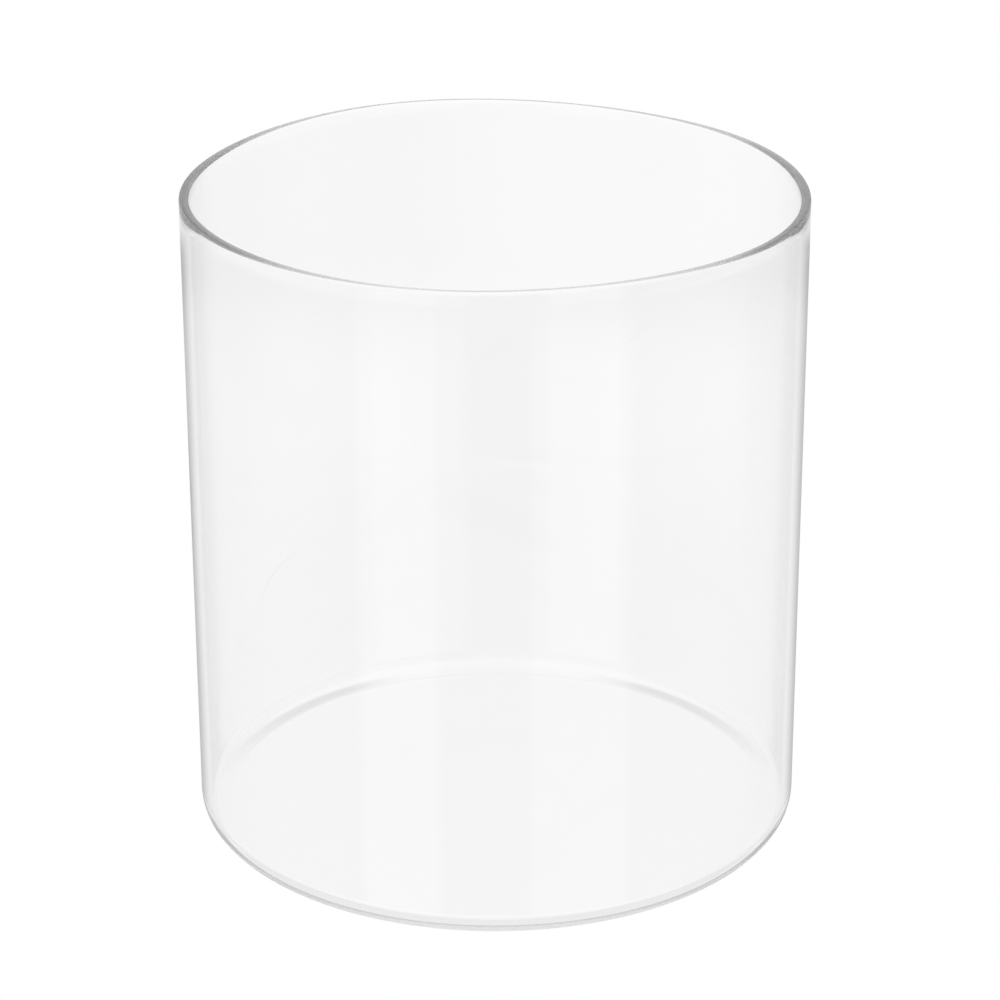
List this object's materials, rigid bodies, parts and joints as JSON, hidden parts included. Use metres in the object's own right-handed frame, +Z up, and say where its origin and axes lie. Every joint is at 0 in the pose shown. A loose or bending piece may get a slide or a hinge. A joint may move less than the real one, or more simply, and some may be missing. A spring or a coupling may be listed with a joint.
{
  "type": "crystallizing dish",
  "caption": "Tall straight-sided laboratory dish of clear glass with a flat base, a rounded base corner and a plain flame-polished rim, open at the top.",
  "frame": {"origin": "centre of the flat base, on the surface that the dish stands on", "axes": "+Z up along the dish's axis of revolution, out of the mouth; the dish is round, so +X and +Y are any two directions square to it"},
  "size_m": [0.14, 0.14, 0.1516],
  "materials": {
    "clear_glass": "clear, flame-polished"
  },
  "bodies": {
    "root": {"dish": "clear_glass"}
  },
  "joints": []
}
